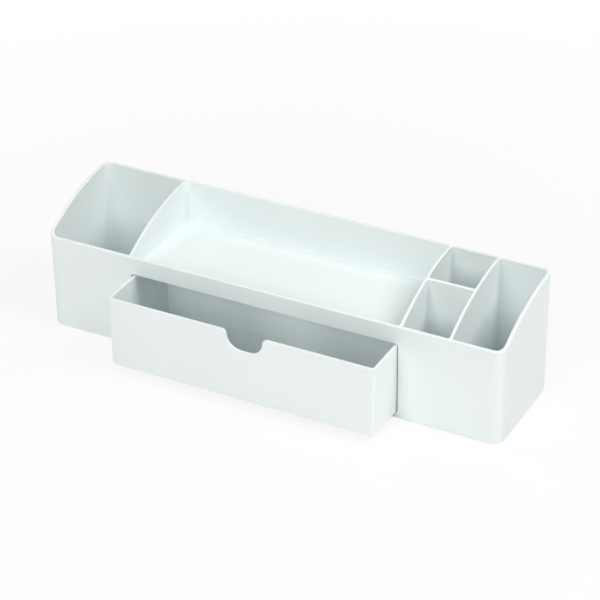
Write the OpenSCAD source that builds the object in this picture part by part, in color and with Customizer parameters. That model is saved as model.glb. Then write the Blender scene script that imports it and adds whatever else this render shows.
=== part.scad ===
/* [Compartments] */
// Clear width of the deep compartment at the left end
left_w = 62; // [30:0.1:90]
// Clear width of the shallow tray, which is also the width of the drawer bay
tray_w = 200; // [150:0.5:260]
// Clear width of the two small compartments
small_w = 32.8; // [22:0.1:60]
// Clear width of the deep compartment at the right end
right_w = 34.4; // [26:0.1:70]
// Height of the tray's floor above the base
tray_h = 59.5; // [50:0.1:63]
// Share of the inside depth at which the crossbar stands, counted from the front wall
crossbar_share = 0.51; // [0.4:0.01:0.6]

/* [Housing] */
// Depth from front face to back face, at the rim
body_d = 80; // [74:0.5:110]
// Height of the back wall
back_h = 91; // [84:0.5:110]
// Height of the front wall
front_h = 70.3; // [66:0.1:74]
// Thickness of the outer walls
wall = 2.4; // [2:0.1:3]
// Thickness of the partitions at the back rim
rib = 2; // [1.8:0.1:3]
// Thickness of the compartment floors
floor_t = 2.4; // [2:0.1:3]
// Thickness of the tray's floor over the drawer bay
tray_floor_t = 2; // [1.8:0.1:2.8]
// Radius of the outer upright corners at the rim
corner_r = 7.5; // [6.5:0.1:10]
// How far each outer wall leans in between the back rim and the base
draft_in = 0.5; // [0.3:0.1:1.4]
// How far each wall of a compartment leans in between the back rim and the base
pocket_draft = 0.6; // [0.3:0.1:0.6]
// Rounding of the lower outer edge
base_r = 1.2; // [0.6:0.1:2]
// Radius of the deep compartments' upright corners beside the partitions, at the rim
inner_r = 1.1; // [1.1:0.1:3]
// Rounding between the walls and the floor of the deep compartments
floor_r = 0.4; // [0.2:0.1:0.4]
// Radius of the tray's upright corners at the rim
tray_corner_r = 2; // [1.8:0.1:3]
// Rounding between the walls and the floor of the tray
tray_r = 1.4; // [0.6:0.1:1.5]

/* [Drawer opening] */
// Height of the closed sill under the opening
sill_h = 4.2; // [3.8:0.1:8]
// Height of the lip that hangs from the tray's floor over the opening
lip_h = 0.5; // [0.3:0.1:2]
// Radius of the opening's corners
opening_r = 2; // [0.5:0.1:4]
// Width of the runner ribs on the floor of the bay
runner_w = 1.8; // [1:0.1:3]
// Number of runner ribs
runners = 3; // [2:1:5]
// Space between a runner rib's rear end and the back wall
runner_end = 6; // [3:0.5:12]

/* [Drawer] */
// Thickness of the drawer's walls
drawer_wall = 2; // [1.6:0.1:2.6]
// Thickness of the drawer's floor
drawer_floor_t = 2; // [1.6:0.1:2.6]
// Clearance between each side of the drawer and the bay
side_gap = 1.1; // [0.8:0.1:2]
// Clearance between the drawer and the ribs that it rides on
slide_gap = 0.3; // [0.2:0.05:0.5]
// Clearance between the drawer's rim and the top of the opening
head_gap = 0.6; // [0.4:0.1:1.5]
// Clearance between the closed drawer and the back wall
rear_gap = 1.2; // [0.8:0.1:4]
// How far the drawer sits to the right of the bay's middle, inside its clearance
drawer_shift = 0.6; // [-0.7:0.1:0.7]
// How far the drawer stands out of the housing at rest
pull_out = 33.3; // [0:0.1:50]
// How far each wall of the drawer leans in between its rim and its base
drawer_draft = 0.3; // [0.1:0.1:0.4]
// Radius of the drawer's upright corners at the rim
drawer_r = 2.8; // [2.6:0.1:4]
// Rounding of the drawer's lower outer edge
drawer_base_r = 1.2; // [0.5:0.1:1.5]
// Radius of the drawer's inner upright corners at the rim
drawer_inner_r = 1; // [0.9:0.1:2]
// Rounding between the drawer's walls and its floor, inside
drawer_floor_r = 0.4; // [0.2:0.1:0.4]

/* [Thumb notch] */
// Width of the notch between its steep sides
notch_w = 27; // [18:0.5:40]
// Depth of the notch below the drawer's rim
notch_h = 13.6; // [8:0.1:20]
// Radius of the notch's lower corners
notch_r = 10.5; // [6:0.5:12]
// Radius of the shoulders where the notch meets the rim
shoulder_r = 3.5; // [1:0.5:5]
// How far the middle of the notch lies to the right of the drawer's middle
notch_offset = 4.4; // [-10:0.1:10]

/* [Foot pads] */
// Diameter of a pad
pad_d = 9; // [6:0.5:14]
// Thickness of a pad
pad_t = 1.2; // [0.9:0.1:1.4]
// How far a pad stands below the base
pad_proud = 0.5; // [0.3:0.1:0.8]
// Clearance round a pad in its recess
pad_gap = 0.3; // [0.2:0.1:0.5]
// Distance from a pad's middle to the nearest outer walls at the rim
pad_inset = 13; // [10:0.5:18]

/* [Hidden] */
$fn = 96;
// Overrun of every cut beyond the face that it opens
over = 1;

// Across the width: the origin is the middle of the base
body_w = 2 * wall + 3 * rib + left_w + tray_w + small_w + right_w;
left_x0 = -body_w / 2 + wall;
left_x1 = left_x0 + left_w;
tray_x0 = left_x1 + rib;
tray_x1 = tray_x0 + tray_w;
small_x0 = tray_x1 + rib;
small_x1 = small_x0 + small_w;
right_x0 = small_x1 + rib;
right_x1 = right_x0 + right_w;

// Along the depth
front_y = -body_d / 2;
back_y = body_d / 2;
in_y0 = front_y + wall;
in_y1 = back_y - wall;
bar_y = in_y0 + crossbar_share * (in_y1 - in_y0);

// Draft of the outer walls and of the compartments, as run over rise
lean = draft_in / back_h;
pocket_lean = pocket_draft / back_h;

// The curved wall tops: an arc through the inner edges of the front and back rims, centred under the back face
rim_y = in_y0 + pocket_lean * (back_h - front_h);
curve_run = back_y - rim_y;
curve_drop = back_h - front_h;
curve_z = (back_h + front_h) / 2 - (curve_run * curve_run - wall * wall) / (2 * curve_drop);
curve_r = sqrt(wall * wall + (back_h - curve_z) * (back_h - curve_z));

// The drawer bay
bay_top = tray_h - tray_floor_t;
open_top = bay_top - lip_h;
bay_rear = in_y1 - lean * back_h;

// The drawer, with its front wall flush with the housing when it is shut
drawer_w = tray_w - 2 * side_gap;
drawer_mid = (tray_x0 + tray_x1) / 2 + drawer_shift;
drawer_z0 = sill_h + slide_gap;
drawer_z1 = open_top - head_gap;
drawer_h = drawer_z1 - drawer_z0;
shut_y = front_y + lean * (back_h - open_top);
drawer_d = bay_rear - rear_gap - shut_y;
drawer_y = shut_y - pull_out;
drawer_lean = drawer_draft / drawer_h;

// The four pads
pad_x = body_w / 2 - pad_inset;
pad_y = body_d / 2 - pad_inset;
pad_z = -pad_proud;

// Rounds a derived length finely, so that neighbouring pieces share their edges exactly
fineness = 100000;
function snug(x) = round(x * fineness) / fineness;

// Half profile of a drafted body: r0 at the foot, r1 at the top. The lower edge is rounded up to where the wall starts
module edge_profile(r0, r1, z0, z1, edge_r) {
    k = (r1 - r0) / (z1 - z0);
    side = r0 + snug(k * edge_r);
    cu = side - edge_r;
    cz = z0 + edge_r;
    far = 2 * edge_r;
    polygon([[0, z0], [cu, z0], [cu, cz], [side, cz], [r1, z1], [0, z1]]);
    intersection() {
        translate([cu, cz]) circle(r = edge_r);
        translate([cu, cz - far]) square(far);
    }
}

// A strip of wall profile, drawn in X and Z, from y0 to y1; side is 1 for a right wall, -1 for a left one
module side_strip(x_in, side, y0, y1, r0, r1, z0, z1, edge_r) {
    translate([x_in, y1, 0])
        rotate([90, 0, 0])
            linear_extrude(height = y1 - y0)
                mirror([side < 0 ? 1 : 0, 0])
                    edge_profile(r0, r1, z0, z1, edge_r);
}

// The same along X, for a front or back wall; side is 1 for a back wall, -1 for a front one
module cross_strip(y_in, side, x0, x1, r0, r1, z0, z1, edge_r) {
    translate([x0, y_in, 0])
        rotate([90, 0, 90])
            linear_extrude(height = x1 - x0)
                mirror([side < 0 ? 1 : 0, 0])
                    edge_profile(r0, r1, z0, z1, edge_r);
}

// One rounded upright corner: the same profile, turned through a quarter circle
module corner_turn(x, y, turn, r0, r1, z0, z1, edge_r) {
    translate([x, y, 0])
        rotate([0, 0, turn])
            rotate_extrude(angle = 90)
                edge_profile(r0, r1, z0, z1, edge_r);
}

// A drafted box with round upright corners and a rounded lower edge.
// x0 to x1 and y0 to y1 are its sides at the height z_ref; ra and rb are its left and right corner radii there.
module drafted_box(x0, x1, y0, y1, z0, z1, z_ref, ra, rb, k, edge_r) {
    xa = x0 + ra;
    xb = x1 - rb;
    below = snug(k * (z_ref - z0));
    above = snug(k * (z1 - z_ref));
    a0 = ra - below;
    a1 = ra + above;
    b0 = rb - below;
    b1 = rb + above;
    side_strip(xa, -1, y0 + ra, y1 - ra, a0, a1, z0, z1, edge_r);
    side_strip(xb, 1, y0 + rb, y1 - rb, b0, b1, z0, z1, edge_r);
    cross_strip(y0 + ra, -1, xa, xb, a0, a1, z0, z1, edge_r);
    cross_strip(y1 - ra, 1, xa, xb, a0, a1, z0, z1, edge_r);
    translate([xa, y0 + ra, z0]) cube([xb - xa, y1 - y0 - 2 * ra, z1 - z0]);
    corner_turn(xa, y0 + ra, 180, a0, a1, z0, z1, edge_r);
    corner_turn(xa, y1 - ra, 90, a0, a1, z0, z1, edge_r);
    corner_turn(xb, y0 + rb, 270, b0, b1, z0, z1, edge_r);
    corner_turn(xb, y1 - rb, 0, b0, b1, z0, z1, edge_r);
}

// The side view of the housing: low flat front rim, arched wall tops, high flat back rim
module side_view() {
    translate([front_y - over, 0]) square([2 * wall + over, front_h]);
    intersection() {
        translate([back_y, curve_z]) circle(r = curve_r, $fn = 360);
        translate([front_y - over, 0]) square([body_d + 2 * over, back_h]);
    }
}

module outer_shell() {
    intersection() {
        drafted_box(-body_w / 2, body_w / 2, front_y, back_y, 0, back_h, back_h, corner_r, corner_r, lean, base_r);
        translate([-body_w / 2 - over, 0, 0])
            rotate([90, 0, 90])
                linear_extrude(height = body_w + 2 * over)
                    side_view();
    }
}

// One open compartment, cut down to the height z0
module pocket(x0, x1, y0, y1, z0, ra, rb, edge_r) {
    drafted_box(x0, x1, y0, y1, z0, back_h + over, back_h, ra, rb, pocket_lean, edge_r);
}

module pockets() {
    end_r = corner_r - wall;
    pocket(left_x0, left_x1, in_y0, in_y1, floor_t, end_r, inner_r, floor_r);
    pocket(tray_x0, tray_x1, in_y0, in_y1, tray_h, tray_corner_r, tray_corner_r, tray_r);
    pocket(small_x0, small_x1, in_y0, bar_y - rib / 2, floor_t, inner_r, inner_r, floor_r);
    pocket(small_x0, small_x1, bar_y + rib / 2, in_y1, floor_t, inner_r, inner_r, floor_r);
    pocket(right_x0, right_x1, in_y0, in_y1, floor_t, inner_r, end_r, floor_r);
}

// The bay behind the opening, closed at the top by the tray's floor
module drawer_bay() {
    translate([tray_x0, in_y0, floor_t]) cube([tray_w, bay_rear - in_y0, bay_top - floor_t]);
}

// The opening in the front wall, with rounded corners
module drawer_opening() {
    open_h = open_top - sill_h;
    translate([tray_x0, in_y0 + over, sill_h])
        rotate([90, 0, 0])
            linear_extrude(height = wall + 2 * over) {
                translate([opening_r, 0]) square([tray_w - 2 * opening_r, open_h]);
                translate([0, opening_r]) square([tray_w, open_h - 2 * opening_r]);
                for (x = [opening_r, tray_w - opening_r])
                    for (z = [opening_r, open_h - opening_r])
                        translate([x, z]) circle(r = opening_r);
            }
}

// Low ribs on the floor of the bay, level with the sill, that carry the drawer
module runner_ribs() {
    pitch = tray_w / runners;
    for (i = [0 : runners - 1])
        translate([tray_x0 + (i + 0.5) * pitch - runner_w / 2, front_y + wall / 2, floor_t / 2])
            cube([runner_w, bay_rear - runner_end - front_y - wall / 2, sill_h - floor_t / 2]);
}

module pad_recess(sx, sy) {
    translate([sx * pad_x, sy * pad_y, -over])
        cylinder(h = over + pad_t - pad_proud, d = pad_d + 2 * pad_gap);
}

module housing() {
    color([0.9, 0.94, 0.93]) {
        difference() {
            outer_shell();
            pockets();
            drawer_bay();
            drawer_opening();
            for (sx = [-1, 1])
                for (sy = [-1, 1])
                    pad_recess(sx, sy);
        }
        runner_ribs();
    }
}

// The notch, drawn from the front: z = 0 is the rim, and the notch goes down
module notch_outline() {
    half = notch_w / 2;
    flat = half - notch_r;
    low = notch_r - notch_h;
    dz = -shoulder_r - low;
    reach = notch_r + shoulder_r;
    sx = flat + sqrt(reach * reach - dz * dz);
    tx = flat + (sx - flat) * notch_r / reach;
    tz = low + dz * notch_r / reach;
    for (s = [-1, 1])
        translate([s * flat, low]) circle(r = notch_r);
    translate([-flat, -notch_h]) square([2 * flat, notch_h + over]);
    difference() {
        polygon([[-sx, over], [-sx, 0], [-tx, tz], [tx, tz], [sx, 0], [sx, over]]);
        for (s = [-1, 1])
            translate([s * sx, -shoulder_r]) circle(r = shoulder_r);
    }
}

module thumb_notch() {
    translate([drawer_mid + notch_offset, drawer_y + drawer_wall + over, drawer_z1])
        rotate([90, 0, 0])
            linear_extrude(height = drawer_wall + 2 * over)
                notch_outline();
}

module drawer() {
    x0 = drawer_mid - drawer_w / 2;
    x1 = drawer_mid + drawer_w / 2;
    y1 = drawer_y + drawer_d;
    color([0.93, 0.95, 0.95])
        difference() {
            drafted_box(x0, x1, drawer_y, y1, drawer_z0, drawer_z1, drawer_z1, drawer_r, drawer_r, drawer_lean,
                        drawer_base_r);
            drafted_box(x0 + drawer_wall, x1 - drawer_wall, drawer_y + drawer_wall, y1 - drawer_wall,
                        drawer_z0 + drawer_floor_t, drawer_z1 + over, drawer_z1, drawer_inner_r, drawer_inner_r,
                        drawer_lean, drawer_floor_r);
            thumb_notch();
        }
}

// One pad, seated in its recess
module foot(sx, sy) {
    color([0.8, 0.83, 0.83])
        translate([sx * pad_x, sy * pad_y, pad_z])
            cylinder(h = pad_t, d = pad_d);
}

module foot_front_left() {
    foot(-1, -1);
}

module foot_front_right() {
    foot(1, -1);
}

module foot_rear_left() {
    foot(-1, 1);
}

module foot_rear_right() {
    foot(1, 1);
}

housing();
drawer();
foot_front_left();
foot_front_right();
foot_rear_left();
foot_rear_right();
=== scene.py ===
"""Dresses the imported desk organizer: satin mouldings with rounded rims, rubber pads and a pale studio."""
import math

import bmesh
import bpy
from bpy.props import FloatProperty, FloatVectorProperty, IntProperty, PointerProperty
from mathutils import Matrix, Vector
from mathutils.geometry import delaunay_2d_cdt


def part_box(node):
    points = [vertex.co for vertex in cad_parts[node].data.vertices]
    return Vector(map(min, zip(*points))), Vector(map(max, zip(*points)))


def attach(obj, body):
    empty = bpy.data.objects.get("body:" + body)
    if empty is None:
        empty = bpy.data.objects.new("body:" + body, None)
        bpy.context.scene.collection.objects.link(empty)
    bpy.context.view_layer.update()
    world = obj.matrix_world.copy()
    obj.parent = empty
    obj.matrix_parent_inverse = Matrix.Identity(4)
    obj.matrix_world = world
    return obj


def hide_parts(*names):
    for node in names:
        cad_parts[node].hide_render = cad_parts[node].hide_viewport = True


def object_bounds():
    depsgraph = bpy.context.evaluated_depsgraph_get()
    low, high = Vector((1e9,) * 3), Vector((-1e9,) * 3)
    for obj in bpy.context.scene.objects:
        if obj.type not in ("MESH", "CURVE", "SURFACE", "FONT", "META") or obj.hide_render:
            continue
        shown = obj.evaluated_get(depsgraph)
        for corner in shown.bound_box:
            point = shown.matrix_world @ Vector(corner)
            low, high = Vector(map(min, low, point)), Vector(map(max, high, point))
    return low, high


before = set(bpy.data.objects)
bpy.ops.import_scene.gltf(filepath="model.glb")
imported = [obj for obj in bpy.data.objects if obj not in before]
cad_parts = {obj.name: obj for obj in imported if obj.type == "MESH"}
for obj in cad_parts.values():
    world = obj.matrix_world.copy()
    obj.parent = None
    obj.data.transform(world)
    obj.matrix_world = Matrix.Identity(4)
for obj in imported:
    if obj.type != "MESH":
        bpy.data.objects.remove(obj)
CAD_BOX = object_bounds()

bl_info = {
    "name": "Desk organizer dressing",
    "version": (1, 0, 0),
    "blender": (4, 5, 0),
    "location": "View3D > Sidebar > Organizer",
    "description": "Finishes the desk organizer's mouldings and pads, and sets up its studio",
    "category": "Object",
}

PADS = ("foot_front_left", "foot_front_right", "foot_rear_left", "foot_rear_right")
# Number of ribs that the drawer slides on
RUNNERS = 3

# Steps of a quarter turn: upright corners, and roundings seen in section
CORNER_STEPS = 9
ROUND_STEPS = 4
# Steps round a pad's recess
CIRCLE_STEPS = 48
# Spacing of the points along the arched wall tops, and its share that stays free beside a corner
ARCH_STEP = 0.002
ARCH_GAP = 0.2
# How far a cutting shape reaches past the face that it opens
REACH = 0.001
# Keeps two faces of a cut from lying in the same plane
HAIR = 0.00001
# Points closer than this are one in the flat wall tops
SAME_POINT = 1e-8
# Points of a CAD mesh that are closer than this are joined before its edges are rounded
WELD_DISTANCE = 0.000005
# Faces of a CAD mesh that meet at less than this are one flat face, in radians
FLAT_ANGLE = 0.0035
# Edges of a CAD mesh sharper than this are rounded, in radians
SHARP_ANGLE = 0.7
# Edges of the moulded housing sharper than this stay sharp in the shading, in radians
CREASE_ANGLE = 0.6
# How strongly large faces rule the shading at their edges
SHADING_WEIGHT = 60
PAD_STEPS = 2

# Index of refraction of the plastic and the rubber, and strength of the plastic's reflections
IOR = 1.5
PLASTIC_SPECULAR = 0.45
# Repeats per metre of the noises that vary the plastic's colour, gloss and flatness
CLOUD_SCALE = 14.0
PATCH_SCALE = 45.0
WAVE_SCALE = 22.0
# Noise values between which nearly all of a noise lies
NOISE_RANGE = (0.3, 0.7)
# Darkest and lightest share of the plastic's colour, and how far its roughness falls and rises
TINT_RANGE = (0.985, 1.01)
GLOSS_RANGE = (-0.04, 0.05)
PLASTIC_BUMP = 0.6
# Repeats per metre, colours, roughness and depth of the rubber's pebbles
PEBBLE_SCALE = 1400.0
PEBBLE_COLOURS = ((0.42, 0.45, 0.45), (0.5, 0.53, 0.53))
PEBBLE_ROUGHNESS = (0.7, 0.85)
PEBBLE_DEPTH = 0.00005
PEBBLE_BUMP = 0.5

# Name, place, width, power setting and colour setting of each lamp, and the point that they face
LAMPS = (
    ("key_lamp", (1.2, 0.0, 1.4), 0.8, "key_power", "side_colour"),
    ("front_lamp", (0.0, -1.7, 0.9), 0.9, "front_power", "lamp_colour"),
    ("upper_front_lamp", (0.0, -1.25, 1.3), 0.9, "upper_front_power", "lamp_colour"),
    ("left_lamp", (-1.2, 0.0, 1.4), 0.8, "left_power", "side_colour"),
    ("back_lamp", (0.0, 1.2, 1.4), 0.8, "back_power", "side_colour"),
)
LAMP_TARGET = (0.0, 0.0, 0.04)
FLOOR_REACH = 6.0
# Colour of the light from all around
AMBIENT_COLOUR = (0.97, 1.0, 1.0)
WHITE = (1.0, 1.0, 1.0)

# Place of the camera and the directions of its right, top and back
CAMERA_PLACE = (0.657945, -1.234551, 0.884103)
CAMERA_AXES = ((0.8863825, 0.4628597, -0.0093273), (-0.2314266, 0.4604545, 0.856985),
               (0.4009586, -0.7574579, 0.5152569))
CAMERA_SENSOR = 36.0
CAMERA_CLIP = (0.05, 50.0)


def length(name, description, default):
    """A length in metres that shows hundredths of a millimetre."""
    return FloatProperty(name=name, description=description, unit="LENGTH", precision=5, min=0.0, max=0.5,
                         default=default)


def lamp_power(name, description, default):
    """A lamp's power in watts."""
    return FloatProperty(name=name, description=description, unit="POWER", min=0.0, max=200.0,
                         default=default)


class HousingSizes(bpy.types.PropertyGroup):
    """Sizes of the housing, as the CAD has them, and the rounding of its rims."""

    left_width: length("Left compartment", "Clear width of the deep compartment at the left end", 0.062)
    tray_width: length("Tray", "Clear width of the tray and of the drawer bay", 0.2)
    small_width: length("Small compartments", "Clear width of the two small compartments", 0.0328)
    right_width: length("Right compartment", "Clear width of the deep compartment at the right end", 0.0344)
    tray_height: length("Tray floor", "Height of the tray's floor above the base", 0.0595)
    front_height: length("Front height", "Height of the front wall", 0.0703)
    wall: length("Wall", "Thickness of the outer walls", 0.0024)
    rib: length("Partition", "Thickness of the partitions at the back rim", 0.002)
    floor: length("Floor", "Thickness of the compartment floors", 0.0024)
    bar_share: FloatProperty(
        name="Crossbar", description="Share of the inside depth at which the crossbar stands",
        subtype="FACTOR", min=0.4, max=0.6, default=0.51)
    corner: length("Corner", "Radius of the outer upright corners at the rim", 0.0075)
    inner_corner: length("Inner corner", "Radius of the upright corners beside the partitions", 0.0011)
    tray_corner: length("Tray corner", "Radius of the tray's upright corners", 0.002)
    draft: length("Draft", "How far an outer wall leans in between the back rim and the base", 0.0005)
    pocket_draft: length("Pocket draft", "How far a compartment's wall leans in over the same height", 0.0006)
    base_rounding: length("Base rounding", "Radius of the lower outer edge", 0.0012)
    floor_rounding: length("Floor rounding", "Radius between a compartment's walls and floor", 0.0004)
    tray_rounding: length("Tray rounding", "Radius between the tray's walls and floor", 0.0014)
    sill: length("Sill", "Height of the sill under the drawer opening", 0.0042)
    opening_top: length("Opening top", "Height of the top of the drawer opening", 0.057)
    opening_corner: length("Opening corner", "Radius of the drawer opening's corners", 0.002)
    opening_edge: length("Opening edge", "Rounding of the drawer opening's front edge", 0.0004)
    bay_top: length("Bay top", "Height of the ceiling of the drawer bay", 0.0575)
    runner: length("Runner", "Width of the ribs that the drawer slides on", 0.0018)
    runner_end: length("Runner end", "Space between a runner's rear end and the back wall", 0.006)
    recess: length("Pad recess", "Diameter of the recess of a foot pad", 0.0096)
    recess_depth: length("Recess depth", "Depth of the recess of a foot pad", 0.0007)
    recess_inset: length("Recess inset", "Distance from a recess's middle to the outer walls", 0.013)
    outer_rim: length("Outer rim", "Rounding of the rims' outer edges", 0.0009)
    inner_rim: length("Inner rim", "Rounding of the rims' edges inside the compartments", 0.00055)


class MouldingLook(bpy.types.PropertyGroup):
    """Colour, gloss and surface grain of the two mouldings."""

    housing_colour: FloatVectorProperty(
        name="Housing colour", description="Colour of the housing's plastic", subtype="COLOR",
        size=3, min=0.0, max=1.0, default=(0.825, 0.903, 0.896))
    drawer_colour: FloatVectorProperty(
        name="Drawer colour", description="Colour of the drawer's plastic", subtype="COLOR",
        size=3, min=0.0, max=1.0, default=(0.832, 0.907, 0.901))
    roughness: FloatProperty(
        name="Roughness", description="How matt the moulded surface is", subtype="FACTOR",
        min=0.05, max=1.0, default=0.42)
    grain_size: FloatProperty(
        name="Grain size", description="Size of the fine moulded texture", unit="LENGTH",
        min=0.0001, max=0.005, default=0.0009)
    grain_depth: FloatProperty(
        name="Grain depth", description="Depth of the fine moulded texture", unit="LENGTH",
        min=0.0, max=0.0005, default=0.00002)
    sink_depth: FloatProperty(
        name="Surface waviness", description="Depth of the slow waves that cooling leaves in thin walls",
        unit="LENGTH", min=0.0, max=0.001, default=0.00003)


class RimLook(bpy.types.PropertyGroup):
    """How far the edges of the drawer and the pads are eased."""

    drawer_edge: FloatProperty(
        name="Drawer edge", description="Width of the rounding on the drawer's rims and edges",
        unit="LENGTH", min=0.0001, max=0.0008, default=0.0004)
    pad_edge: FloatProperty(
        name="Pad edge", description="Width of the rounding on the pads' edges",
        unit="LENGTH", min=0.0001, max=0.0004, default=0.0002)
    steps: IntProperty(
        name="Steps", description="Number of steps in each rounding of the drawer", min=1, max=6,
        default=3)


class StudioLook(bpy.types.PropertyGroup):
    """Camera, lamps and floor."""

    lens: FloatProperty(
        name="Lens", description="Focal length on a 36 mm sensor, in millimetres", min=20.0, max=300.0,
        default=145.2621)
    ambient: FloatProperty(
        name="Ambient", description="Strength of the light that comes from all around", min=0.0, max=2.0,
        default=0.2)
    key_power: lamp_power("Key lamp", "Power of the large lamp high on the right", 18.0)
    front_power: lamp_power("Front lamp", "Power of the large lamp in front", 13.5)
    upper_front_power: lamp_power("Upper front lamp", "Power of the lamp high in front", 2.8)
    left_power: lamp_power("Left lamp", "Power of the lamp high on the left", 4.2)
    back_power: lamp_power("Back lamp", "Power of the lamp high behind", 4.2)
    floor_colour: FloatVectorProperty(
        name="Floor colour", description="Colour of the floor", subtype="COLOR", size=3, min=0.0, max=1.0,
        default=(0.9, 0.9, 0.9))
    floor_white: FloatProperty(
        name="Floor whiteness", description="How far the floor is seen as plain white, apart from shadows",
        subtype="FACTOR", min=0.0, max=1.0, default=0.84)
    floor_near: length("Near floor", "Distance from the middle up to which shadows show fully", 0.22)
    floor_far: FloatProperty(
        name="Far floor", description="Distance from the middle beyond which the floor is plain white",
        unit="LENGTH", min=0.0, max=3.0, default=0.6)
    lamp_colour: FloatVectorProperty(
        name="Lamp colour", description="Colour of the lamps in front, a little warm", subtype="COLOR",
        size=3, min=0.0, max=1.0, default=(1.0, 0.965, 0.965))
    side_colour: FloatVectorProperty(
        name="Side lamp colour", description="Colour of the warmer lamps at the sides and behind",
        subtype="COLOR", size=3, min=0.0, max=1.0, default=(1.0, 0.947, 0.947))


def new_material(name):
    """An empty node material. Returns it with its output node, its nodes and its links."""
    material = bpy.data.materials.new(name)
    material.use_nodes = True
    tree = material.node_tree
    tree.nodes.clear()
    return material, add(tree.nodes, "ShaderNodeOutputMaterial"), tree.nodes, tree.links


def add(nodes, kind, **settings):
    """Adds a node. Settings that start with in_ are values of its sockets."""
    node = nodes.new(kind)
    for key, value in settings.items():
        if key.startswith("in_"):
            node.inputs[key[3:].replace("_", " ")].default_value = value
        else:
            setattr(node, key, value)
    return node


def noise(nodes, links, place, **settings):
    texture = add(nodes, "ShaderNodeTexNoise", **settings)
    links.new(place.outputs["Object"], texture.inputs["Vector"])
    return texture.outputs["Fac"]


def spread(nodes, links, value, source, target):
    """Maps a value from one range to another."""
    scale = add(nodes, "ShaderNodeMapRange", in_From_Min=source[0], in_From_Max=source[1],
                in_To_Min=target[0], in_To_Max=target[1])
    links.new(value, scale.inputs["Value"])
    return scale.outputs["Result"]


def blend(nodes, links, value, source, dark, light):
    """Runs from one colour to another as a value goes through a range."""
    ramp = add(nodes, "ShaderNodeValToRGB")
    for element, position, colour in zip(ramp.color_ramp.elements, source, (dark, light)):
        element.position = position
        element.color = (*colour, 1.0)
    links.new(value, ramp.inputs["Fac"])
    return ramp.outputs["Color"]


def relief(nodes, links, height, depth, strength, below=None):
    """Turns a height into a surface relief, on top of another one if it is given."""
    bump = add(nodes, "ShaderNodeBump", in_Strength=strength, in_Distance=depth)
    links.new(height, bump.inputs["Height"])
    if below is not None:
        links.new(below, bump.inputs["Normal"])
    return bump.outputs["Normal"]


def moulded_plastic(name, colour, look):
    """Satin plastic: faint uneven colour and gloss, a fine grain and slow waves in the walls."""
    material, out, nodes, links = new_material(name)
    shader = add(nodes, "ShaderNodeBsdfPrincipled", in_IOR=IOR, in_Specular_IOR_Level=PLASTIC_SPECULAR)
    links.new(shader.outputs["BSDF"], out.inputs["Surface"])
    place = add(nodes, "ShaderNodeTexCoord")

    cloud = noise(nodes, links, place, in_Scale=CLOUD_SCALE, in_Detail=3.0, in_Roughness=0.55)
    dark, light = ([min(1.0, c * share) for c in colour] for share in TINT_RANGE)
    links.new(blend(nodes, links, cloud, NOISE_RANGE, dark, light), shader.inputs["Base Color"])

    patch = noise(nodes, links, place, in_Scale=PATCH_SCALE, in_Detail=4.0, in_Roughness=0.6)
    gloss = [look.roughness + change for change in GLOSS_RANGE]
    links.new(spread(nodes, links, patch, NOISE_RANGE, gloss), shader.inputs["Roughness"])

    grain = noise(nodes, links, place, in_Scale=1.0 / look.grain_size, in_Detail=2.0, in_Roughness=0.5)
    waves = noise(nodes, links, place, in_Scale=WAVE_SCALE, in_Detail=1.0)
    slow = relief(nodes, links, waves, look.sink_depth, PLASTIC_BUMP)
    links.new(relief(nodes, links, grain, look.grain_depth, PLASTIC_BUMP, slow), shader.inputs["Normal"])
    return material


def pad_rubber():
    """Matt grey rubber with a pebbled surface."""
    material, out, nodes, links = new_material("pad_rubber")
    shader = add(nodes, "ShaderNodeBsdfPrincipled", in_IOR=IOR)
    links.new(shader.outputs["BSDF"], out.inputs["Surface"])
    place = add(nodes, "ShaderNodeTexCoord")
    pebble = add(nodes, "ShaderNodeTexVoronoi", in_Scale=PEBBLE_SCALE)
    links.new(place.outputs["Object"], pebble.inputs["Vector"])
    distance = pebble.outputs["Distance"]
    full = (0.0, 1.0)
    links.new(blend(nodes, links, distance, full, *PEBBLE_COLOURS), shader.inputs["Base Color"])
    links.new(spread(nodes, links, distance, full, PEBBLE_ROUGHNESS), shader.inputs["Roughness"])
    links.new(relief(nodes, links, distance, PEBBLE_DEPTH, PEBBLE_BUMP), shader.inputs["Normal"])
    return material


def dress(node_name, material):
    """Puts a material on every slot of a CAD node."""
    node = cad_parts[node_name]
    if not node.data.materials:
        node.data.materials.append(material)
    for slot in node.material_slots:
        slot.material = material
    return node


def even_shading(piece):
    """Lets the large faces rule the shading, so that flat walls stay flat beside their roundings."""
    even = piece.modifiers.new("even_shading", "WEIGHTED_NORMAL")
    even.keep_sharp = True
    even.weight = SHADING_WEIGHT


def ease_edges(node, width, steps):
    """Rounds the sharp edges of a CAD node with modifiers, which leave its mesh as it is."""
    weld = node.modifiers.new("weld", "WELD")
    weld.merge_threshold = WELD_DISTANCE
    flat = node.modifiers.new("join_flats", "DECIMATE")
    flat.decimate_type = "DISSOLVE"
    flat.angle_limit = FLAT_ANGLE
    rounding = node.modifiers.new("eased_edges", "BEVEL")
    rounding.width = width
    rounding.segments = steps
    rounding.limit_method = "ANGLE"
    rounding.angle_limit = SHARP_ANGLE
    rounding.use_clamp_overlap = True
    rounding.miter_outer = "MITER_ARC"
    even_shading(node)


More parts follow.
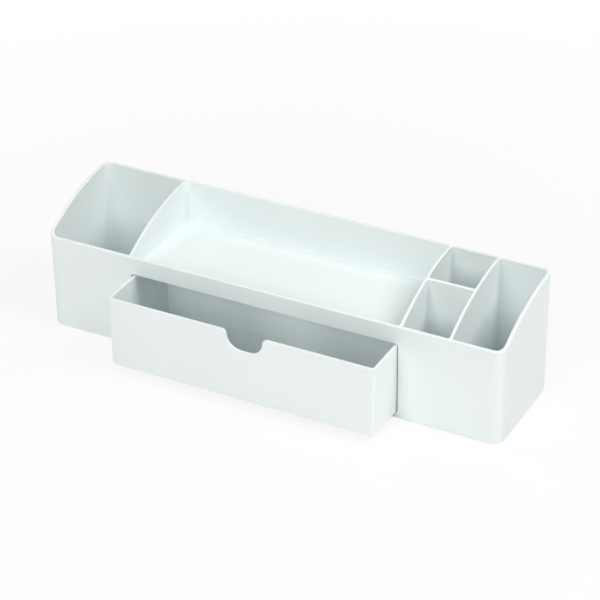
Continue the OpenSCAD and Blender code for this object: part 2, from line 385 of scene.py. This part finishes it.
def plan_loop(x0, x1, y0, y1, left_r, right_r):
    """Points and outward directions round a rectangle with rounded corners, counter-clockwise."""
    def turn(cx, cy, r, start):
        for step in range(CORNER_STEPS + 1):
            a = math.radians(start + 90.0 * step / CORNER_STEPS)
            yield cx + r * math.cos(a), cy + r * math.sin(a), math.cos(a), math.sin(a)

    def side(x, low, high, nx):
        first = math.ceil(low / ARCH_STEP + ARCH_GAP)
        last = math.floor(high / ARCH_STEP - ARCH_GAP)
        return [(x, k * ARCH_STEP, nx, 0.0) for k in range(first, last + 1)]

    return [*turn(x1 - right_r, y0 + right_r, right_r, -90.0),
            *side(x1, y0 + right_r, y1 - right_r, 1.0),
            *turn(x1 - right_r, y1 - right_r, right_r, 0.0),
            *turn(x0 + left_r, y1 - left_r, left_r, 90.0),
            *reversed(side(x0, y0 + left_r, y1 - left_r, -1.0)),
            *turn(x0 + left_r, y0 + left_r, left_r, 180.0)]


def quarter(radius):
    """Points of a quarter round in section: how far in from the face, and how far below the corner."""
    for step in range(ROUND_STEPS + 1):
        a = 0.5 * math.pi * step / ROUND_STEPS
        yield radius * (1.0 - math.cos(a)), radius * (1.0 - math.sin(a))


def skin(bm, rings):
    """Closes the bands between rings of equal length."""
    for low, high in zip(rings, rings[1:]):
        for i in range(len(low)):
            j = (i + 1) % len(low)
            bm.faces.new((low[i], low[j], high[j], high[i]))


def solid(name, bm):
    """Turns a closed bmesh into an object with outward faces."""
    bmesh.ops.recalc_face_normals(bm, faces=bm.faces)
    mesh = bpy.data.meshes.new(name)
    bm.to_mesh(mesh)
    bm.free()
    piece = bpy.data.objects.new(name, mesh)
    bpy.context.scene.collection.objects.link(piece)
    return piece


def combine(body, tool, operation):
    """Cuts a tool out of a body or joins it on, and leaves a plain mesh."""
    change = body.modifiers.new("combine", "BOOLEAN")
    change.operation = operation
    change.solver = "EXACT"
    change.object = tool
    old = body.data
    seen = body.evaluated_get(bpy.context.evaluated_depsgraph_get())
    body.data = bpy.data.meshes.new_from_object(seen)
    body.modifiers.clear()
    spare = tool.data
    bpy.data.objects.remove(tool)
    for mesh in (old, spare):
        bpy.data.meshes.remove(mesh)


def block(low, high):
    """A bmesh with one box between two corners."""
    bm = bmesh.new()
    bmesh.ops.create_cube(bm, size=1.0)
    for vert in bm.verts:
        vert.co = Vector([a + (c + 0.5) * (b - a) for a, b, c in zip(low, high, vert.co)])
    return bm


class HousingPlan:
    """Where the walls and compartments lie, worked out from the sizes."""

    def __init__(self, size):
        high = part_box("housing")[1]
        self.size = size
        self.x0, self.x1 = -round(high[0], 4), round(high[0], 4)
        self.y0, self.y1, self.top = -round(high[1], 4), round(high[1], 4), round(high[2], 4)
        self.lean = size.draft / self.top
        self.pocket_lean = size.pocket_draft / self.top
        self.in_y0, self.in_y1 = self.y0 + size.wall, self.y1 - size.wall
        self.left = (self.x0 + size.wall, self.x0 + size.wall + size.left_width)
        self.tray = (self.left[1] + size.rib, self.left[1] + size.rib + size.tray_width)
        self.small = (self.tray[1] + size.rib, self.tray[1] + size.rib + size.small_width)
        self.right = (self.small[1] + size.rib, self.small[1] + size.rib + size.right_width)
        self.bar = self.in_y0 + size.bar_share * (self.in_y1 - self.in_y0)
        self.arch_y = self.in_y0 + self.pocket_lean * (self.top - size.front_height)
        run, drop = self.y1 - self.arch_y, self.top - size.front_height
        self.arch_z = (self.top + size.front_height) / 2.0 - (run * run - size.wall ** 2) / (2.0 * drop)
        self.arch_r = math.hypot(size.wall, self.top - self.arch_z)
        self.bay_rear = self.in_y1 - size.draft

    def rim(self, y):
        """Height of the wall tops: a flat front rim, an arch and a flat back rim."""
        if y <= self.arch_y:
            return self.size.front_height
        if y >= self.in_y1:
            return self.top
        return self.arch_z + math.sqrt(self.arch_r ** 2 - (self.y1 - y) ** 2)

    def ring(self, bm, loop, lean, offset, height, from_rim):
        """One ring of points, moved outward by offset, at a height or at a depth below the rim."""
        verts = []
        for x, y, nx, ny in loop:
            z = self.rim(y + ny * offset) - height if from_rim else height
            out = offset - lean * (self.top - z)
            verts.append(bm.verts.new((x + nx * out, y + ny * out, z)))
        return verts

    def shell(self, bm):
        """The outer walls, from the base to the rim. Returns the ring where the rim's flat top starts."""
        size = self.size
        loop = plan_loop(self.x0, self.x1, self.y0, self.y1, size.corner, size.corner)
        rings = [self.ring(bm, loop, self.lean, -inset, up, False)
                 for inset, up in reversed(list(quarter(size.base_rounding)))]
        rings += [self.ring(bm, loop, self.lean, -inset, down, True)
                  for inset, down in quarter(size.outer_rim)]
        bm.faces.new(rings[0])
        skin(bm, rings)
        return rings[-1]

    def pocket(self, bm, x0, x1, y0, y1, floor, left_r, right_r, rounding):
        """The walls and floor of a compartment. Returns the ring where the rim's flat top ends."""
        loop = plan_loop(x0, x1, y0, y1, left_r, right_r)
        rings = [self.ring(bm, loop, self.pocket_lean, inset, down, True)
                 for inset, down in reversed(list(quarter(self.size.inner_rim)))]
        rings += [self.ring(bm, loop, self.pocket_lean, -inset, floor + up, False)
                  for inset, up in quarter(rounding)]
        bm.faces.new(rings[-1])
        skin(bm, rings)
        return rings[0]

    def pockets(self, bm):
        """All five compartments. Returns the rings where the rims' flat tops end."""
        size = self.size
        end = size.corner - size.wall
        inner, soft, floor = size.inner_corner, size.floor_rounding, size.floor
        front, rear = (self.in_y0, self.bar - size.rib / 2.0), (self.bar + size.rib / 2.0, self.in_y1)
        full = (self.in_y0, self.in_y1)
        tray = size.tray_corner
        return [self.pocket(bm, *self.left, *full, floor, end, inner, soft),
                self.pocket(bm, *self.tray, *full, size.tray_height, tray, tray, size.tray_rounding),
                self.pocket(bm, *self.small, *front, floor, inner, inner, soft),
                self.pocket(bm, *self.small, *rear, floor, inner, inner, soft),
                self.pocket(bm, *self.right, *full, floor, inner, end, soft)]

    def close_top(self, bm, outer, pockets):
        """The flat tops of the walls, between the outer ring and the compartments."""
        verts, owner, edges = [], [], []
        for number, ring in enumerate([outer, *pockets]):
            start = len(verts)
            verts += ring
            owner += [number] * len(ring)
            edges += [(start + i, start + (i + 1) % len(ring)) for i in range(len(ring))]
        flat = [Vector((v.co.x, v.co.y)) for v in verts]
        _, _, faces, source, _, _ = delaunay_2d_cdt(flat, edges, [], 1, SAME_POINT)
        for face in faces:
            corners = [source[i][0] for i in face]
            # A face with all its corners on one compartment's ring would close that compartment
            owners = {owner[i] for i in corners}
            if len(owners) > 1 or owners == {0}:
                bm.faces.new([verts[i] for i in corners])

    def opening(self):
        """The drawer opening with its rounded front edge, from in front of the wall into the bay."""
        size = self.size
        loop = plan_loop(self.tray[0] + HAIR, self.tray[1] - HAIR, size.sill, size.opening_top,
                         size.opening_corner, size.opening_corner)
        steps = [(out, depth) for depth, out in quarter(size.opening_edge)]
        (wide, at), (less, deep) = steps[0], steps[1]
        far = REACH / (deep - at)
        steps[0] = (wide + far * (wide - less), at - REACH)
        steps.append((0.0, size.wall + REACH))
        bm = bmesh.new()
        rings = [[bm.verts.new((x + nx * out, self.y0 + self.lean * (self.top - z) + depth, z + nz * out))
                  for x, z, nx, nz in loop] for out, depth in steps]
        bm.faces.new(rings[0])
        bm.faces.new(rings[-1])
        skin(bm, rings)
        return bm

    def recesses(self):
        """The four round recesses of the pads, reaching below the base."""
        size = self.size
        bm = bmesh.new()
        for sx in (-1, 1):
            for sy in (-1, 1):
                made = bmesh.ops.create_cone(bm, cap_ends=True, segments=CIRCLE_STEPS,
                                             radius1=size.recess / 2.0, radius2=size.recess / 2.0,
                                             depth=size.recess_depth + REACH)
                move = Vector((sx * (self.x1 - size.recess_inset), sy * (self.y1 - size.recess_inset),
                               (size.recess_depth - REACH) / 2.0))
                bmesh.ops.translate(bm, verts=made["verts"], vec=move)
        return bm

    def runners(self):
        """The ribs that the drawer slides on, reaching into the sill and the floor."""
        size = self.size
        pitch = size.tray_width / RUNNERS
        bm = bmesh.new()
        for number in range(RUNNERS):
            x = self.tray[0] + (number + 0.5) * pitch
            part = block((x - size.runner / 2.0, self.y0 + size.wall / 2.0, size.floor / 2.0),
                         (x + size.runner / 2.0, self.bay_rear - size.runner_end, size.sill - HAIR))
            mesh = bpy.data.meshes.new("runner")
            part.to_mesh(mesh)
            part.free()
            bm.from_mesh(mesh)
            bpy.data.meshes.remove(mesh)
        return bm

    def mould(self, name):
        """The whole housing as one closed mesh with rounded rims."""
        bm = bmesh.new()
        outer = self.shell(bm)
        self.close_top(bm, outer, self.pockets(bm))
        body = solid(name, bm)
        bay = block((self.tray[0], self.in_y0, self.size.floor),
                    (self.tray[1], self.bay_rear, self.size.bay_top))
        combine(body, solid("bay", bay), "DIFFERENCE")
        combine(body, solid("opening", self.opening()), "DIFFERENCE")
        combine(body, solid("recesses", self.recesses()), "DIFFERENCE")
        combine(body, solid("runners", self.runners()), "UNION")
        return body


class MouldHousing(bpy.types.Operator):
    """Makes the housing with rounded rims, in its plastic, in place of the CAD's sharp-edged one"""

    bl_idname = "organizer.mould_housing"
    bl_label = "Housing"

    def execute(self, context):
        look = context.scene.organizer_moulding
        piece = HousingPlan(context.scene.organizer_housing).mould("housing_moulding")
        piece.data.shade_smooth()
        piece.data.set_sharp_from_angle(angle=CREASE_ANGLE)
        even_shading(piece)
        piece.data.materials.append(moulded_plastic("housing_plastic", look.housing_colour, look))
        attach(piece, "housing_body")
        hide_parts("housing")
        return {"FINISHED"}


class DressDrawer(bpy.types.Operator):
    """Gives the drawer its plastic and eases its rims"""

    bl_idname = "organizer.dress_drawer"
    bl_label = "Drawer"

    def execute(self, context):
        look = context.scene.organizer_moulding
        rim = context.scene.organizer_rim
        node = dress("drawer", moulded_plastic("drawer_plastic", look.drawer_colour, look))
        ease_edges(node, rim.drawer_edge, rim.steps)
        return {"FINISHED"}


class DressPads(bpy.types.Operator):
    """Gives the four foot pads their rubber and eases their edges"""

    bl_idname = "organizer.dress_pads"
    bl_label = "Foot pads"

    def execute(self, context):
        rim = context.scene.organizer_rim
        material = pad_rubber()
        for name in PADS:
            ease_edges(dress(name, material), rim.pad_edge, PAD_STEPS)
        return {"FINISHED"}


def square_lamp(name, place, size, power, colour):
    data = bpy.data.lights.new(name, "AREA")
    data.shape = "SQUARE"
    data.size = size
    data.energy = power
    data.color = colour
    lamp = bpy.data.objects.new(name, data)
    bpy.context.scene.collection.objects.link(lamp)
    lamp.location = Vector(place)
    lamp.rotation_mode = "QUATERNION"
    lamp.rotation_quaternion = (Vector(LAMP_TARGET) - Vector(place)).to_track_quat("-Z", "Y")


def camera_sees(nodes, links):
    """1 for what the camera sees directly, in a reflection or through something clear."""
    path = add(nodes, "ShaderNodeLightPath")
    first = add(nodes, "ShaderNodeMath", operation="MAXIMUM")
    links.new(path.outputs["Is Camera Ray"], first.inputs[0])
    links.new(path.outputs["Is Glossy Ray"], first.inputs[1])
    both = add(nodes, "ShaderNodeMath", operation="MAXIMUM")
    links.new(first.outputs[0], both.inputs[0])
    links.new(path.outputs["Is Transmission Ray"], both.inputs[1])
    return both.outputs[0]


def floor_material(look):
    """Matt pale floor, seen nearly white but for the object's shadow, and plain white further out."""
    material, out, nodes, links = new_material("studio_floor")
    matt = add(nodes, "ShaderNodeBsdfDiffuse", in_Color=(*look.floor_colour, 1.0))
    plain = add(nodes, "ShaderNodeEmission", in_Color=(*WHITE, 1.0))
    place = add(nodes, "ShaderNodeTexCoord")
    distance = add(nodes, "ShaderNodeVectorMath", operation="LENGTH")
    links.new(place.outputs["Object"], distance.inputs[0])
    white = spread(nodes, links, distance.outputs["Value"], (look.floor_near, look.floor_far),
                   (look.floor_white, 1.0))
    amount = add(nodes, "ShaderNodeMath", operation="MULTIPLY")
    links.new(camera_sees(nodes, links), amount.inputs[0])
    links.new(white, amount.inputs[1])
    mix = add(nodes, "ShaderNodeMixShader")
    links.new(amount.outputs[0], mix.inputs["Fac"])
    links.new(matt.outputs[0], mix.inputs[1])
    links.new(plain.outputs[0], mix.inputs[2])
    links.new(mix.outputs[0], out.inputs["Surface"])
    return material


def set_floor(look):
    """A large flat floor at the height of the pads' lowest points."""
    height, reach = CAD_BOX[0].z, FLOOR_REACH
    mesh = bpy.data.meshes.new("studio_floor")
    mesh.from_pydata([(-reach, -reach, height), (reach, -reach, height), (reach, reach, height),
                      (-reach, reach, height)], [], [(0, 1, 2, 3)])
    floor = bpy.data.objects.new("studio_floor", mesh)
    mesh.materials.append(floor_material(look))
    bpy.context.scene.collection.objects.link(floor)


def set_surroundings(look):
    """Plain white as the camera sees it, and a weaker, slightly cool light on the object."""
    world = bpy.data.worlds.new("studio_surroundings")
    bpy.context.scene.world = world
    world.use_nodes = True
    nodes, links = world.node_tree.nodes, world.node_tree.links
    nodes.clear()
    out = add(nodes, "ShaderNodeOutputWorld")
    ambient = add(nodes, "ShaderNodeBackground", in_Color=(*AMBIENT_COLOUR, 1.0), in_Strength=look.ambient)
    white = add(nodes, "ShaderNodeBackground", in_Color=(*WHITE, 1.0), in_Strength=1.0)
    mix = add(nodes, "ShaderNodeMixShader")
    links.new(camera_sees(nodes, links), mix.inputs["Fac"])
    links.new(ambient.outputs[0], mix.inputs[1])
    links.new(white.outputs[0], mix.inputs[2])
    links.new(mix.outputs[0], out.inputs["Surface"])


def set_camera(look):
    data = bpy.data.cameras.new("photo_camera")
    data.sensor_width = CAMERA_SENSOR
    data.lens = look.lens
    data.clip_start, data.clip_end = CAMERA_CLIP
    camera = bpy.data.objects.new("photo_camera", data)
    bpy.context.scene.collection.objects.link(camera)
    turn = Matrix([Vector(axis) for axis in CAMERA_AXES]).transposed().to_4x4()
    camera.matrix_world = Matrix.Translation(CAMERA_PLACE) @ turn
    bpy.context.scene.camera = camera


class SetStudio(bpy.types.Operator):
    """Makes the floor, the lamps, the surroundings and the camera"""

    bl_idname = "organizer.set_studio"
    bl_label = "Studio"

    def execute(self, context):
        look = context.scene.organizer_studio
        set_floor(look)
        set_surroundings(look)
        for name, place, size, power, colour in LAMPS:
            square_lamp(name, place, size, getattr(look, power), getattr(look, colour))
        set_camera(look)
        context.scene.view_settings.view_transform = "Standard"
        return {"FINISHED"}


class OrganizerPanel(bpy.types.Panel):
    """Lists the steps that dress the desk organizer"""

    bl_idname = "VIEW3D_PT_organizer"
    bl_label = "Desk organizer"
    bl_space_type = "VIEW_3D"
    bl_region_type = "UI"
    bl_category = "Organizer"

    def draw(self, context):
        layout = self.layout
        for step in STEPS:
            layout.operator(step.bl_idname)
        for key in GROUPS:
            group = getattr(context.scene, key)
            box = layout.box()
            for name in group.bl_rna.properties.keys():
                if name not in {"rna_type", "name"}:
                    box.prop(group, name)


STEPS = (MouldHousing, DressDrawer, DressPads, SetStudio)
GROUPS = {"organizer_housing": HousingSizes, "organizer_moulding": MouldingLook, "organizer_rim": RimLook,
          "organizer_studio": StudioLook}


def register():
    for group in GROUPS.values():
        bpy.utils.register_class(group)
    for name, group in GROUPS.items():
        setattr(bpy.types.Scene, name, PointerProperty(type=group))
    for step in STEPS:
        bpy.utils.register_class(step)
    bpy.utils.register_class(OrganizerPanel)


def unregister():
    bpy.utils.unregister_class(OrganizerPanel)
    for step in reversed(STEPS):
        bpy.utils.unregister_class(step)
    for name, group in GROUPS.items():
        delattr(bpy.types.Scene, name)
        bpy.utils.unregister_class(group)


def main():
    register()
    bpy.ops.organizer.mould_housing()
    bpy.ops.organizer.dress_drawer()
    bpy.ops.organizer.dress_pads()
    bpy.ops.organizer.set_studio()


if __name__ == "__main__":
    main()
